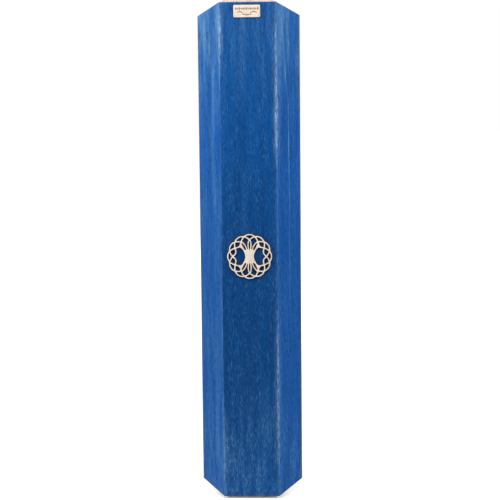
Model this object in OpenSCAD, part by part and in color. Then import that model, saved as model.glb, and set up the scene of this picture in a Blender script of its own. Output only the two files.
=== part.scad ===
// Wall case for a rolled prayer parchment: a faceted wooden cover held by magnets on a flat wall plate.
// Origin: middle of the plate's back face. +Z runs up the case, the front faces -Y.

/* [Case] */
// Length of the stained boards
case_len = 250; // [180:1:320]
// Width across the foot of the cover
case_w = 51.5; // [40:0.5:80]
// Width of the flat front facet
front_w = 28; // [18:0.5:40]
// Back of the plate to the face of the front facet
case_depth = 16.75; // [14:0.25:30]
// Height of the slanting corner cut at each end
corner_cut = 5.9; // [3:0.1:14]
// Thickness of the cover boards
board_t = 2.6; // [1.5:0.1:5]

/* [Wall plate] */
// Thickness of the wall plate
plate_t = 3; // [2:0.1:6]
// Open line between the plate and the cover
seat_gap = 0.3; // [0.3:0.05:0.6]

/* [End blocks] */
// Length of each end block along the case
block_len = 17; // [12:0.5:30]
// How far each block stands out past the boards
block_proud = 1.4; // [0:0.1:4]
// Width of the standing-out part
block_tab_w = 25.4; // [10:0.1:38]

/* [Wall screws] */
// Distance between the two screws
screw_pitch = 170; // [120:1:240]
// Shank diameter behind the plate
screw_d = 3; // [2:0.1:5]
// Diameter of the tapering neck where it meets the head
screw_neck_d = 3.2; // [2.2:0.1:5.4]
// Head diameter
screw_head_d = 5.8; // [4:0.1:9]
// Length that stands out behind the plate
screw_out = 13; // [8:1:30]
// Width and depth of the driver slot
screw_slot_w = 0.8; // [0.5:0.1:1.5]
screw_slot_h = 0.7; // [0.4:0.1:1.5]
// Shank hole diameter in the plate
screw_hole_d = 3.4; // [2.2:0.1:6]

/* [Magnets and pins] */
// Magnet diameter
magnet_d = 5; // [3:0.5:8]
// Magnet thickness
magnet_t = 2; // [1:0.1:2.4]
// Depth that each magnet sits below its face
magnet_sink = 0.15; // [0.15:0.05:0.4]
// Distance of the magnets from the case's middle line
magnet_x = 10; // [7:0.5:16]
// Distance of the magnets and pins from the boards' ends
seat_inset = 9; // [6:0.5:14]
// Locating pin diameter
pin_d = 4; // [2:0.5:5]
// Pin length inside the block, and standing out of it
pin_in = 8; // [4:0.5:10]
pin_out = 2.3; // [1:0.1:2.6]
// Radial clearance of the pin in the plate
pin_fit = 0.06; // [0.01:0.01:0.10]
// Depth of the pin's hole in the plate
pin_hole_h = 2.4; // [1.5:0.1:2.6]

/* [Parchment] */
// Length of the rolled parchment
scroll_len = 120; // [60:1:150]
// Outside diameter of the roll
scroll_d = 8; // [5:0.1:9]
// Diameter of the roll's open middle
scroll_core_d = 3.2; // [2:0.1:5]
// Axis of the roll in front of the plate's back face
scroll_y = 8.9; // [7:0.1:12]
// Length and thickness of the paper wrapper
wrap_len = 98; // [40:1:120]
wrap_t = 0.3; // [0.2:0.05:0.6]
// Width and thickness of the two rubber bands
band_w = 1.4; // [0.8:0.1:3]
band_t = 0.5; // [0.3:0.05:0.6]
// Distance of each band from the middle
band_z = 22; // [10:1:30]

/* [Cradles] */
// Width of a cradle
cradle_w = 16; // [12:0.5:20]
// Length of a cradle along the case
cradle_len = 8; // [5:0.5:14]
// Distance of each cradle from the middle
cradle_z = 38; // [30:1:50]
// Room between the wrapper and the cradle
cradle_gap = 0.35; // [0.3:0.05:1]
// Slope cut off the cradle's front corners
cradle_bevel = 1.3; // [0.5:0.1:2]

/* [Corner linings] */
// Width of a lining's glued faces
lining_leg = 4; // [2:0.5:6]
// Gap between a lining and the end blocks
lining_gap = 0.5; // [0:0.1:2]

/* [Tree emblem] */
// Diameter over the lobes
emblem_d = 23; // [15:0.5:30]
// Thickness
emblem_t = 1.5; // [0.8:0.1:3]
// Height of its centre
emblem_z = -1.3; // [-40:0.1:40]

/* [Name plaque] */
// Width, height and thickness
plaque_w = 13.3; // [8:0.1:20]
plaque_h = 6.1; // [4:0.1:10]
plaque_t = 0.8; // [0.5:0.1:2]
// Corner radius
plaque_r = 0.6; // [0.2:0.1:2]
// Distance of its centre below the boards' top end
plaque_drop = 4.6; // [4:0.1:20]
// Sideways offset of its centre
plaque_x = -0.3; // [-4:0.1:4]

/* [Hidden] */
fine = 64;
past = 1;
side_run = (case_w - front_w) / 2;
side_rise = case_depth - plate_t;
side_len = sqrt(side_run * side_run + side_rise * side_rise);
slope_x = side_run / side_len;
slope_y = side_rise / side_len;
cover_y = -(plate_t + seat_gap);
front_y = -case_depth;
lined_y = -(case_depth - board_t);
half_len = case_len / 2;
block_in = half_len - block_len + block_proud;
block_out = half_len + block_proud;
seat_z = half_len - seat_inset;
tab_z = half_len + (front_w - block_tab_w) / 2 * corner_cut / side_run;
wrap_r = scroll_d / 2 + wrap_t;
emblem_r = emblem_d / 2;
LOBES = 12;
lobe_turn = 360 / LOBES;

// Half width of the cover's outside, and of its inside, at depth y.
function outer_x(y) = front_w / 2 + (y + case_depth) * side_run / side_rise;
function inner_x(y) = outer_x(y) - board_t * side_len / side_rise;

// A section drawn in X and Y, run along the case from z0 to z1.
module run_z(section, z0, z1) {
    translate([0, 0, z0]) linear_extrude(height = z1 - z0) polygon(section);
}

// A shape drawn in X and Z, run forwards from depth y0 by t.
module run_front(y0, t) {
    translate([0, y0, 0]) rotate([90, 0, 0]) linear_extrude(height = t) children();
}

// A round bar along Y from y0 forwards to y1, tapering from r0 to r1.
module bar_y(x, z, y0, y1, r0, r1) {
    translate([x, y0, z]) rotate([90, 0, 0]) cylinder(h = y0 - y1, r1 = r0, r2 = r1, $fn = fine);
}

// The case's outline from the front: a long rectangle with its four corners cut.
module outline() {
    edge_z = half_len - corner_cut;
    polygon([[-front_w / 2, half_len], [front_w / 2, half_len], [case_w / 2, edge_z], [case_w / 2, -edge_z],
             [front_w / 2, -half_len], [-front_w / 2, -half_len], [-case_w / 2, -edge_z], [-case_w / 2, edge_z]]);
}

module back_plate() {
    color([0.80, 0.66, 0.46]) difference() {
        run_front(0, plate_t) outline();
        for (s = [-1, 1]) {
            bar_y(0, s * screw_pitch / 2, past, -plate_t - past, screw_hole_d / 2, screw_hole_d / 2);
            sink_h = (screw_head_d - screw_hole_d) / 2;
            bar_y(0, s * screw_pitch / 2, sink_h - plate_t, -plate_t, screw_hole_d / 2, screw_head_d / 2);
            bar_y(0, s * seat_z, pin_hole_h - plate_t, -plate_t - past, pin_d / 2 + pin_fit, pin_d / 2 + pin_fit);
            for (m = [-1, 1])
                bar_y(m * magnet_x, s * seat_z, magnet_t + magnet_sink - plate_t, -plate_t - past,
                      magnet_d / 2, magnet_d / 2);
        }
    }
}

module wall_screw(z) {
    head_h = (screw_head_d - screw_neck_d) / 2;
    tip_h = screw_d;
    difference() {
        union() {
            bar_y(0, z, head_h - plate_t, -plate_t, screw_neck_d / 2, screw_head_d / 2);
            bar_y(0, z, 0, head_h - plate_t, screw_d / 2, screw_neck_d / 2);
            bar_y(0, z, screw_out - tip_h, 0, screw_d / 2, screw_d / 2);
            bar_y(0, z, screw_out, screw_out - tip_h, screw_slot_w / 4, screw_d / 2);
        }
        translate([-screw_head_d, -plate_t - past, z - screw_slot_w / 2])
            cube([2 * screw_head_d, past + screw_slot_h, screw_slot_w]);
    }
}

module wall_screws() {
    color([0.78, 0.62, 0.28]) for (s = [-1, 1]) wall_screw(s * screw_pitch / 2);
}

// A glued block with a half-round seat for the roll.
module cradle(z) {
    half_w = cradle_w / 2;
    color([0.76, 0.58, 0.36]) difference() {
        run_z([[-half_w, -plate_t], [half_w, -plate_t], [half_w, cradle_bevel - scroll_y],
               [half_w - cradle_bevel, -scroll_y], [cradle_bevel - half_w, -scroll_y],
               [-half_w, cradle_bevel - scroll_y]], z - cradle_len / 2, z + cradle_len / 2);
        translate([0, -scroll_y, z - cradle_len])
            cylinder(h = 2 * cradle_len, r = wrap_r + cradle_gap, $fn = fine);
    }
}

module upper_cradle() {
    cradle(cradle_z);
}

module lower_cradle() {
    cradle(-cradle_z);
}

module plate_magnets() {
    face = magnet_sink - plate_t;
    color([0.72, 0.73, 0.75])
        for (s = [-1, 1], m = [-1, 1])
            bar_y(m * magnet_x, s * seat_z, face + magnet_t, face, magnet_d / 2, magnet_d / 2);
}

module front_panel() {
    back_x = inner_x(lined_y);
    color([0.06, 0.26, 0.50])
        run_z([[-front_w / 2, front_y], [front_w / 2, front_y], [back_x, lined_y], [-back_x, lined_y]],
              -half_len, half_len);
}

// A side board: mitred at the front corner, its foot cut flat to meet the plate.
module side_panel() {
    color([0.14, 0.35, 0.62]) intersection() {
        run_z([[inner_x(cover_y), cover_y], [inner_x(lined_y), lined_y], [front_w / 2, front_y],
               [outer_x(cover_y), cover_y]], -half_len, half_len);
        run_front(past, case_depth + 2 * past) outline();
    }
}

module right_side_panel() {
    side_panel();
}

module left_side_panel() {
    mirror([1, 0, 0]) side_panel();
}

// A solid block that closes one end, with seats for two magnets and a pin in its back.
module end_block() {
    foot_z = half_len - corner_cut;
    foot_x = case_w / 2;
    wide = case_w;
    tab = block_tab_w / 2;
    color([0.78, 0.62, 0.42]) difference() {
        intersection() {
            run_z([[-inner_x(cover_y), cover_y], [-inner_x(lined_y), lined_y], [inner_x(lined_y), lined_y],
                   [inner_x(cover_y), cover_y]], block_in, block_out);
            run_front(past, case_depth + 2 * past)
                polygon([[-wide, block_in - past], [wide, block_in - past], [wide, foot_z], [foot_x, foot_z],
                         [tab, tab_z], [tab, block_out + past], [-tab, block_out + past], [-tab, tab_z],
                         [-foot_x, foot_z], [-wide, foot_z]]);
        }
        bar_y(0, seat_z, cover_y + past, cover_y - pin_in, pin_d / 2, pin_d / 2);
        for (m = [-1, 1])
            bar_y(m * magnet_x, seat_z, cover_y + past, cover_y - magnet_t - magnet_sink,
                  magnet_d / 2, magnet_d / 2);
    }
}

module top_end_block() {
    end_block();
}

module bottom_end_block() {
    mirror([0, 0, 1]) end_block();
}

// A three-cornered strip glued inside a mitred corner.
module corner_lining() {
    x = inner_x(lined_y);
    z = block_in - lining_gap;
    color([0.80, 0.66, 0.46])
        run_z([[x, lined_y], [x + lining_leg * slope_x, lined_y + lining_leg * slope_y],
               [x - lining_leg, lined_y]], -z, z);
}

module right_corner_lining() {
    corner_lining();
}

module left_corner_lining() {
    mirror([1, 0, 0]) corner_lining();
}

module cover_magnets() {
    face = cover_y - magnet_sink;
    color([0.72, 0.73, 0.75])
        for (s = [-1, 1], m = [-1, 1])
            bar_y(m * magnet_x, s * seat_z, face, face - magnet_t, magnet_d / 2, magnet_d / 2);
}

module locating_pins() {
    nose = pin_d / 10;
    color([0.84, 0.70, 0.50]) for (s = [-1, 1]) {
        bar_y(0, s * seat_z, cover_y + pin_out - nose, cover_y - pin_in, pin_d / 2, pin_d / 2);
        bar_y(0, s * seat_z, cover_y + pin_out, cover_y + pin_out - nose, pin_d / 2 - nose, pin_d / 2);
    }
}

// A pointed oval of the given length and width, standing up.
module leaf_slot(len, wide) {
    r = (len * len + wide * wide) / (4 * wide);
    intersection() {
        translate([r - wide / 2, 0]) circle(r = r, $fn = fine);
        translate([wide / 2 - r, 0]) circle(r = r, $fn = fine);
    }
}

// The opening between the trunk and the ring on one side.
module side_window() {
    intersection() {
        circle(r = 0.61 * emblem_r, $fn = fine);
        translate([0.62 * emblem_r, 0]) circle(r = 0.42 * emblem_r, $fn = fine);
        translate([0.5 * emblem_r, 0]) square([emblem_r, 0.7 * emblem_r], center = true);
    }
}

// A tree with branches and roots inside a ring of twelve interlaced lobes.
module tree_emblem() {
    r = emblem_r;
    color([0.90, 0.80, 0.62]) translate([0, 0, emblem_z]) run_front(front_y, emblem_t) difference() {
        union() {
            circle(r = 0.8 * r, $fn = fine);
            for (i = [1 : LOBES]) rotate(i * lobe_turn) translate([0.65 * r, 0]) circle(r = 0.35 * r, $fn = fine);
        }
        for (i = [1 : LOBES]) {
            rotate(i * lobe_turn) translate([0.855 * r, 0]) rotate(180) circle(r = 0.075 * r, $fn = 3);
            rotate((i + 0.5) * lobe_turn) translate([0.745 * r, 0]) circle(r = 0.095 * r, $fn = fine);
        }
        for (m = [0, 1]) mirror([m, 0]) side_window();
        for (m = [0, 1]) mirror([0, m]) {
            translate([0, 0.52 * r]) leaf_slot(0.27 * r, 0.07 * r);
            for (s = [-1, 1]) translate([s * 0.25 * r, 0.46 * r]) rotate(-31 * s) leaf_slot(0.26 * r, 0.07 * r);
        }
    }
}

module name_plaque() {
    core_w = plaque_w - 2 * plaque_r;
    core_h = plaque_h - 2 * plaque_r;
    color([0.93, 0.86, 0.72]) translate([plaque_x, 0, half_len - plaque_drop]) run_front(front_y, plaque_t) {
        square([plaque_w, core_h], center = true);
        square([core_w, plaque_h], center = true);
        for (sx = [-1, 1], sy = [-1, 1])
            translate([sx * core_w / 2, sy * core_h / 2]) circle(r = plaque_r, $fn = fine);
    }
}

// A sleeve round the roll's axis.
module sleeve(z, len, r_in, r_out) {
    translate([0, -scroll_y, z - len / 2]) difference() {
        cylinder(h = len, r = r_out, $fn = fine);
        translate([0, 0, -past]) cylinder(h = len + 2 * past, r = r_in, $fn = fine);
    }
}

module parchment_scroll() {
    color([0.92, 0.85, 0.68]) sleeve(0, scroll_len, scroll_core_d / 2, scroll_d / 2);
}

module scroll_wrapper() {
    color([0.96, 0.94, 0.88]) sleeve(0, wrap_len, scroll_d / 2, wrap_r);
}

module scroll_bands() {
    color([0.70, 0.52, 0.32])
        for (s = [-1, 1]) sleeve(s * band_z, band_w, wrap_r, wrap_r + band_t);
}

back_plate();
wall_screws();
upper_cradle();
lower_cradle();
plate_magnets();
front_panel();
left_side_panel();
right_side_panel();
top_end_block();
bottom_end_block();
left_corner_lining();
right_corner_lining();
cover_magnets();
locating_pins();
tree_emblem();
name_plaque();
parchment_scroll();
scroll_wrapper();
scroll_bands();
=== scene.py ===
import math

import bmesh
import bpy
import numpy as np
from mathutils import Matrix, Vector
from mathutils.geometry import delaunay_2d_cdt


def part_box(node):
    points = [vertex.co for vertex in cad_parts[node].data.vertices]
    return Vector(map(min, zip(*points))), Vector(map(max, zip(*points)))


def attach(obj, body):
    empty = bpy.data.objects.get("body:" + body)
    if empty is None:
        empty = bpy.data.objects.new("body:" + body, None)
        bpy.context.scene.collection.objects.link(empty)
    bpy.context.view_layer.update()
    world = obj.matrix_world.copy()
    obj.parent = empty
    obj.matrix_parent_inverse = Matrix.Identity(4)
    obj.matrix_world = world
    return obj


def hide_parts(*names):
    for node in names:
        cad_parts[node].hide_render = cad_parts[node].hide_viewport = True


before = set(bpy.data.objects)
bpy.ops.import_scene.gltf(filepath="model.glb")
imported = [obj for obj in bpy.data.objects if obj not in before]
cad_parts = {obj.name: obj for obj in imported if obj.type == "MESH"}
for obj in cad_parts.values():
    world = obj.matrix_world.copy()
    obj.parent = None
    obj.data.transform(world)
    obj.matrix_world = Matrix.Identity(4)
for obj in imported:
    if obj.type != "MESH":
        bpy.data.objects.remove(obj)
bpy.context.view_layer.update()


# ------ Floor
# The case stands on its lower end block on a broad, matt, nearly white floor.
# It isn't part of the object.
def add(tree, kind, values=None, **settings):
    """One shader or geometry node, with its inputs set or linked."""
    made = tree.nodes.new(kind)
    for name, value in settings.items():
        setattr(made, name, value)
    for key, value in (values or {}).items():
        if isinstance(value, bpy.types.NodeSocket):
            tree.links.new(value, made.inputs[key])
        else:
            made.inputs[key].default_value = value
    return made


def blend_colour(tree, amount, a, b):
    return add(tree, "ShaderNodeMix", {0: amount, 6: a, 7: b}, data_type="RGBA").outputs[2]


def stretch_range(tree, value, low, high, to_low=0.0, to_high=1.0):
    return add(tree, "ShaderNodeMapRange",
               {"Value": value, "From Min": low, "From Max": high, "To Min": to_low, "To Max": to_high},
               interpolation_type="SMOOTHSTEP").outputs[0]


def noise(tree, place, scale=1.0, detail=3.0, **more):
    values = {"Vector": place, "Scale": scale, "Detail": detail, **more}
    return add(tree, "ShaderNodeTexNoise", values).outputs[0]


def new_material(name):
    """A material with its shader and output, and the object's own coordinates."""
    mat = bpy.data.materials.new(name)
    mat.use_nodes = True
    tree = mat.node_tree
    tree.nodes.clear()
    shader = add(tree, "ShaderNodeBsdfPrincipled")
    out = add(tree, "ShaderNodeOutputMaterial")
    tree.links.new(shader.outputs[0], out.inputs["Surface"])
    where = add(tree, "ShaderNodeTexCoord").outputs["Object"]
    return mat, tree, shader, where


def mesh_object(name, mesh, *materials):
    made = bpy.data.objects.new(name, mesh)
    bpy.context.scene.collection.objects.link(made)
    for mat in materials:
        mesh.materials.append(mat)
    return made


FLOOR_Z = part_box("bottom_end_block")[0][2]
FLOOR_REACH = 9.0
mesh = bpy.data.meshes.new("floor")
corners = [(x * FLOOR_REACH, y * FLOOR_REACH, FLOOR_Z) for x, y in ((-1, -1), (1, -1), (1, 1), (-1, 1))]
mesh.from_pydata(corners, [], [(0, 1, 2, 3)])
floor_paint, tree, shader, where = new_material("floor_paint")
mottle = noise(tree, where, scale=6.0, detail=2.0)
tree.links.new(blend_colour(tree, mottle, (0.86, 0.86, 0.86, 1), (0.88, 0.88, 0.88, 1)),
               shader.inputs["Base Color"])
shader.inputs["Roughness"].default_value = 0.9
shader.inputs["Specular IOR Level"].default_value = 0.0
# Far from the case the camera sees it as white, and near the case it keeps its soft shadow.
away = add(tree, "ShaderNodeVectorMath", {0: where}, operation="LENGTH").outputs["Value"]
glow = add(tree, "ShaderNodeEmission", {"Strength": stretch_range(tree, away, 0.25, 1.1, 0.35, 1.0)})
# Other rays meet a dull floor, so that it throws little light up at the case.
eye = add(tree, "ShaderNodeLightPath").outputs["Is Camera Ray"]
dull = add(tree, "ShaderNodeBsdfDiffuse", {"Color": (0.34, 0.34, 0.35, 1)}).outputs[0]
bright = add(tree, "ShaderNodeAddShader", {0: shader.outputs[0], 1: glow.outputs[0]}).outputs[0]
whole = add(tree, "ShaderNodeMixShader", {0: eye, 1: dull, 2: bright}).outputs[0]
tree.links.new(whole, [n for n in tree.nodes if n.type == "OUTPUT_MATERIAL"][0].inputs["Surface"])
mesh_object("floor", mesh, floor_paint)

# ------ Light and camera
# A white surround with a large soft light on each side of the case, one above the
# camera and one behind. Only the camera sees the surround at its full brightness.
world = bpy.data.worlds.new("surround")
bpy.context.scene.world = world
world.use_nodes = True
tree = world.node_tree
tree.nodes.clear()
seen = add(tree, "ShaderNodeBackground", {"Color": (1, 1, 1, 1), "Strength": 1.0}).outputs[0]
cast = add(tree, "ShaderNodeBackground", {"Color": (0.96, 0.98, 1, 1), "Strength": 0.06}).outputs[0]
ray = add(tree, "ShaderNodeLightPath").outputs["Is Camera Ray"]
both = add(tree, "ShaderNodeMixShader", {0: ray, 1: cast, 2: seen}).outputs[0]
add(tree, "ShaderNodeOutputWorld", {"Surface": both})


def soft_light(name, place, aim_z, size, power):
    lamp = bpy.data.lights.new(name, "AREA")
    lamp.shape = "RECTANGLE"
    lamp.size, lamp.size_y = size
    lamp.energy = power
    made = bpy.data.objects.new(name, lamp)
    bpy.context.scene.collection.objects.link(made)
    made.location = place
    made.rotation_euler = (Vector((0, 0, aim_z)) - Vector(place)).to_track_quat("-Z", "Y").to_euler()


soft_light("left_softbox", (-0.77, -0.44, 0.36), aim_z=0.08, size=(0.8, 0.9), power=8.0)
soft_light("right_softbox", (0.77, -0.44, 0.30), aim_z=0.06, size=(0.8, 0.9), power=6.6)
soft_light("back_softbox", (0.35, 0.95, 0.55), aim_z=0.0, size=(0.7, 0.7), power=9.0)
soft_light("front_softbox", (-0.05, -0.72, 0.55), aim_z=0.02, size=(0.7, 0.4), power=6.0)

EYE = (0.02674, -0.70886, 0.07493)
PITCH, YAW, ROLL = math.radians(6.023), math.radians(-2.198), math.radians(-0.546)
forward = Vector((math.sin(YAW) * math.cos(PITCH), math.cos(YAW) * math.cos(PITCH), -math.sin(PITCH)))
level = Vector((math.cos(YAW), -math.sin(YAW), 0))
upward = level.cross(forward)
sideways = level * math.cos(ROLL) + upward * math.sin(ROLL)
top = upward * math.cos(ROLL) - level * math.sin(ROLL)
lens = bpy.data.cameras.new("camera")
lens.lens = 99.8
lens.sensor_width = 36.0
camera = bpy.data.objects.new("camera", lens)
bpy.context.scene.collection.objects.link(camera)
turned = Matrix((sideways, top, -forward)).transposed().to_4x4()
camera.matrix_world = Matrix.Translation(EYE) @ turned
bpy.context.scene.camera = camera
bpy.context.scene.view_settings.view_transform = "Standard"

# ------ Cover boards
# Three thin boards of open-pored hardwood, mitred along the two long corners and
# glued. They are stained blue, rounded over with sandpaper and oiled to a satin
# finish, and the stain is rubbed thin along the corners.
def calc(tree, op, a, b=0.0, clamp=False):
    return add(tree, "ShaderNodeMath", {0: a, 1: b}, operation=op, use_clamp=clamp).outputs[0]


def plus(tree, a, b, clamp=False):
    return calc(tree, "ADD", a, b, clamp)


def minus(tree, a, b, clamp=False):
    return calc(tree, "SUBTRACT", a, b, clamp)


def times(tree, a, b):
    return calc(tree, "MULTIPLY", a, b)


def over(tree, a, b, clamp=False):
    return calc(tree, "DIVIDE", a, b, clamp)


def apart(tree, a, b):
    """How far apart two numbers are."""
    return calc(tree, "ABSOLUTE", minus(tree, a, b))


def vector(tree, x=0.0, y=0.0, z=0.0):
    return add(tree, "ShaderNodeCombineXYZ", {0: x, 1: y, 2: z}).outputs[0]


def axes(tree, place):
    return add(tree, "ShaderNodeSeparateXYZ", {0: place}).outputs


def stretched(tree, place, by):
    return add(tree, "ShaderNodeVectorMath", {0: place, 1: by}, operation="MULTIPLY").outputs[0]


def coat(tree, shader, colour, roughness, height=None, strength=0.3, deep=0.0001):
    """Links a finished colour, roughness and relief to the shader."""
    tree.links.new(colour, shader.inputs["Base Color"])
    tree.links.new(roughness, shader.inputs["Roughness"])
    if height is not None:
        relief = add(tree, "ShaderNodeBump", {"Height": height, "Strength": strength, "Distance": deep})
        tree.links.new(relief.outputs[0], shader.inputs["Normal"])


def group_input(group, name, kind, value):
    made = group.interface.new_socket(name=name, in_out="INPUT", socket_type="NodeSocket" + kind)
    made.default_value = value
    return made


def new_group(name, inputs, outputs):
    group = bpy.data.node_groups.new(name, "ShaderNodeTree")
    for label, kind, value in inputs:
        group_input(group, label, kind, value)
    for label, kind in outputs:
        group.interface.new_socket(name=label, in_out="OUTPUT", socket_type="NodeSocket" + kind)
    return group, add(group, "NodeGroupInput").outputs, add(group, "NodeGroupOutput").inputs


# Long-grained wood as one solid block: broad bands, fine streaks, short open pores.
long_grain, given, gives = new_group(
    "long_grain",
    [("Place", "Vector", (0, 0, 0)), ("Band Width", "Float", 0.006), ("Streak Width", "Float", 0.0009),
     ("Pore Width", "Float", 0.0004), ("Pore Length", "Float", 12.0), ("Pore Share", "Float", 0.4),
     ("Wander", "Float", 0.0015)],
    [("Bands", "Float"), ("Streaks", "Float"), ("Pores", "Float"), ("Height", "Float")])


def scaled(tree, place, width, ratio):
    """The place counted in widths across the grain, and in widths times the ratio along it."""
    across = over(tree, 1.0, width)
    return stretched(tree, place, vector(tree, across, across, over(tree, across, ratio)))


drift = noise(long_grain, scaled(long_grain, given["Place"], 0.02, 4.0), detail=1.0)
drift = times(long_grain, minus(long_grain, drift, 0.5), given["Wander"])
shift = vector(long_grain, drift, drift)
bent = add(long_grain, "ShaderNodeVectorMath", {0: given["Place"], 1: shift}, operation="ADD").outputs[0]
bands = noise(long_grain, scaled(long_grain, bent, given["Band Width"], 22.0), detail=2.0, Roughness=0.55)
streaks = noise(long_grain, scaled(long_grain, bent, given["Streak Width"], 18.0), Roughness=0.6)
dashes = noise(long_grain, scaled(long_grain, bent, given["Pore Width"], given["Pore Length"]), detail=1.0)
limit = minus(long_grain, 0.78, times(long_grain, given["Pore Share"], 0.4))
pores = stretch_range(long_grain, dashes, limit, plus(long_grain, limit, 0.09))
long_grain.links.new(stretch_range(long_grain, bands, 0.32, 0.68), gives["Bands"])
long_grain.links.new(stretch_range(long_grain, streaks, 0.28, 0.72), gives["Streaks"])
long_grain.links.new(pores, gives["Pores"])
long_grain.links.new(minus(long_grain, times(long_grain, streaks, 0.35), pores), gives["Height"])


def grain(tree, place, **sizes):
    """The bands, streaks, pores and relief of the wood at a place."""
    made = add(tree, "ShaderNodeGroup", node_tree=long_grain)
    tree.links.new(place, made.inputs["Place"])
    for name, value in sizes.items():
        made.inputs[name.replace("_", " ")].default_value = value
    return made.outputs


def moved(tree, place, by, further=0.0):
    """The same wood cut from another part of the plank."""
    return add(tree, "ShaderNodeMapping",
               {"Vector": place, "Location": [v + further for v in by]}).outputs[0]


CASE_LEN = 0.250
CORNER_X = 0.014
DARKEST_Z = -0.035
# A pale blue for thinly stained wood, also used for painted light and sheen.
FADED_AND_LIT_BLUE = (0.115, 0.285, 0.50, 1)
RUBBED_BLUE = (0.24, 0.38, 0.55, 1)
# How much each long corner is rubbed all along, and from one height to another.
RIGHT_RUB = (0.11, (0.050, 0.080, 0.45), (0.052, 0.114, 0.60), (-0.104, -0.036, 0.52))
LEFT_RUB = (0.0108, (0.098, 0.120, 0.90), (-0.120, -0.085, 0.36))


def zone(tree, z, low, high, soft=0.012):
    """One between two heights, falling away softly past them."""
    return times(tree, stretch_range(tree, z, low - soft, low + soft),
                 stretch_range(tree, z, high + soft, high - soft))


def rub(tree, z, amount, *stretches):
    """How much a corner is rubbed at this height."""
    for low, high, more in stretches:
        amount = plus(tree, amount, times(tree, zone(tree, z, low, high), more))
    return amount


def stained_wood(name, offset, stain, pale_and_painted_light, vein):
    """Blue stain on open-pored wood, given by its deep and middling colours and its colour a little below
    the middle, which is partly painted shade.

    It is paled by these amounts near the top, near the bottom and all over; this paling is partly the
    wood's tone and partly painted light and sheen. The vein is a long pale line: its place high up and low
    down, its strength and its width.
    """
    mat, tree, shader, where = new_material(name)
    deep, mid, middle_dark_and_shade = stain
    top_pale_and_light, foot_pale_and_light, all_pale_and_light = pale_and_painted_light
    vein_high, vein_low, vein_strength, vein_width = vein
    wood = grain(tree, moved(tree, where, offset), Band_Width=0.0040, Streak_Width=0.00050,
                 Pore_Width=0.00030, Pore_Length=9.0, Pore_Share=0.50, Wander=0.004)
    fine = grain(tree, moved(tree, where, offset, 0.31), Band_Width=0.0015,
                 Streak_Width=0.00034, Pore_Width=0.00030, Pore_Length=8.0, Pore_Share=0.58, Wander=0.003)
    x, _, z = axes(tree, where)
    tone = plus(tree, times(tree, wood["Bands"], 0.42), times(tree, wood["Streaks"], 0.34))
    tone = plus(tree, tone, times(tree, fine["Streaks"], 0.34), clamp=True)
    colour = blend_colour(tree, tone, (*deep, 1), (*mid, 1))
    # The colour is darkest a little below the middle of the case, partly the wood's tone and partly painted
    # shade.
    middle_darkening_and_shade = stretch_range(tree, apart(tree, z, DARKEST_Z), 0.115, 0.015, 0.0, 0.62)
    colour = blend_colour(tree, middle_darkening_and_shade, colour, (*middle_dark_and_shade, 1))
    # Broad pale bands where the wood took less. They are strongest near the two ends, where the extra
    # paleness is partly painted sheen.
    cloud = noise(tree, scaled(tree, moved(tree, where, offset, 0.53), 0.0034, 9.0), Roughness=0.6)
    cloud = stretch_range(tree, cloud, 0.36, 0.66)
    upper = stretch_range(tree, z, 0.060, 0.120)
    lower = stretch_range(tree, z, -0.055, -0.112)
    thin_stain_and_light = plus(tree, plus(tree, times(tree, upper, top_pale_and_light), times(tree, lower, foot_pale_and_light)), all_pale_and_light)
    thin_stain_and_light = times(tree, thin_stain_and_light, plus(tree, times(tree, cloud, 1.3), 0.35))
    # Short pale flecks between the pores, stronger low down, where the extra is painted sheen.
    flecks_and_sheen = times(tree, fine["Pores"], plus(tree, times(tree, lower, 0.13), 0.13))
    flecks_and_sheen = times(tree, flecks_and_sheen, plus(tree, cloud, 0.45))
    # One long pale vein.
    path = plus(tree, stretch_range(tree, z, 0.066, 0.118, vein_low, vein_high),
                times(tree, minus(tree, wood["Bands"], 0.5), 0.0004))
    line = stretch_range(tree, apart(tree, x, path), vein_width, vein_width * 0.2)
    line = times(tree, line, zone(tree, z, -0.01, 0.112, 0.03))
    line = times(tree, line, times(tree, plus(tree, cloud, 0.4), vein_strength))
    paleness_and_light = plus(tree, plus(tree, thin_stain_and_light, flecks_and_sheen), line, clamp=True)
    colour = blend_colour(tree, paleness_and_light, colour, FADED_AND_LIT_BLUE)
    # The stain is rubbed thin in dashes along the long corners, most on the right one.
    off_corner = apart(tree, calc(tree, "ABSOLUTE", x), CORNER_X - 0.0001)
    dashes = noise(tree, scaled(tree, moved(tree, where, offset, 0.7), 0.0006, 5.0), Roughness=0.65)
    dashes = plus(tree, times(tree, stretch_range(tree, dashes, 0.42, 0.62), 0.85), 0.06)
    brushed = plus(tree, times(tree, fine["Streaks"], 0.26), 0.02)
    rubbed = plus(tree, times(tree, stretch_range(tree, off_corner, 0.00095, 0.0001), dashes),
                  times(tree, stretch_range(tree, off_corner, 0.0028, 0.0003), brushed))
    side = stretch_range(tree, x, -0.001, 0.001)
    by_side = add(tree, "ShaderNodeMix", {0: side, 2: rub(tree, z, *LEFT_RUB), 3: rub(tree, z, *RIGHT_RUB)})
    rubbed = calc(tree, "MINIMUM", times(tree, rubbed, by_side.outputs[0]), 0.8)
    colour = blend_colour(tree, rubbed, colour, RUBBED_BLUE)
    in_pores = (deep[0] * 0.4, deep[1] * 0.45, deep[2] * 0.5, 1)
    colour = blend_colour(tree, times(tree, wood["Pores"], 0.62), colour, in_pores)
    # Bare brown wood where the ends and the foot were cut after staining.
    rim = add(tree, "ShaderNodeAttribute", attribute_name="rim").outputs["Fac"]
    bare = blend_colour(tree, wood["Streaks"], (0.10, 0.065, 0.055, 1), (0.26, 0.19, 0.15, 1))
    colour = blend_colour(tree, stretch_range(tree, rim, 0.45, 0.9), colour, bare)
    uneven = plus(tree, times(tree, wood["Streaks"], 0.10), times(tree, wood["Pores"], 0.25))
    coat(tree, shader, colour, plus(tree, uneven, 0.30), wood["Height"], 0.35, 0.00012)
    shader.inputs["Specular IOR Level"].default_value = 0.08
    return mat


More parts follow.
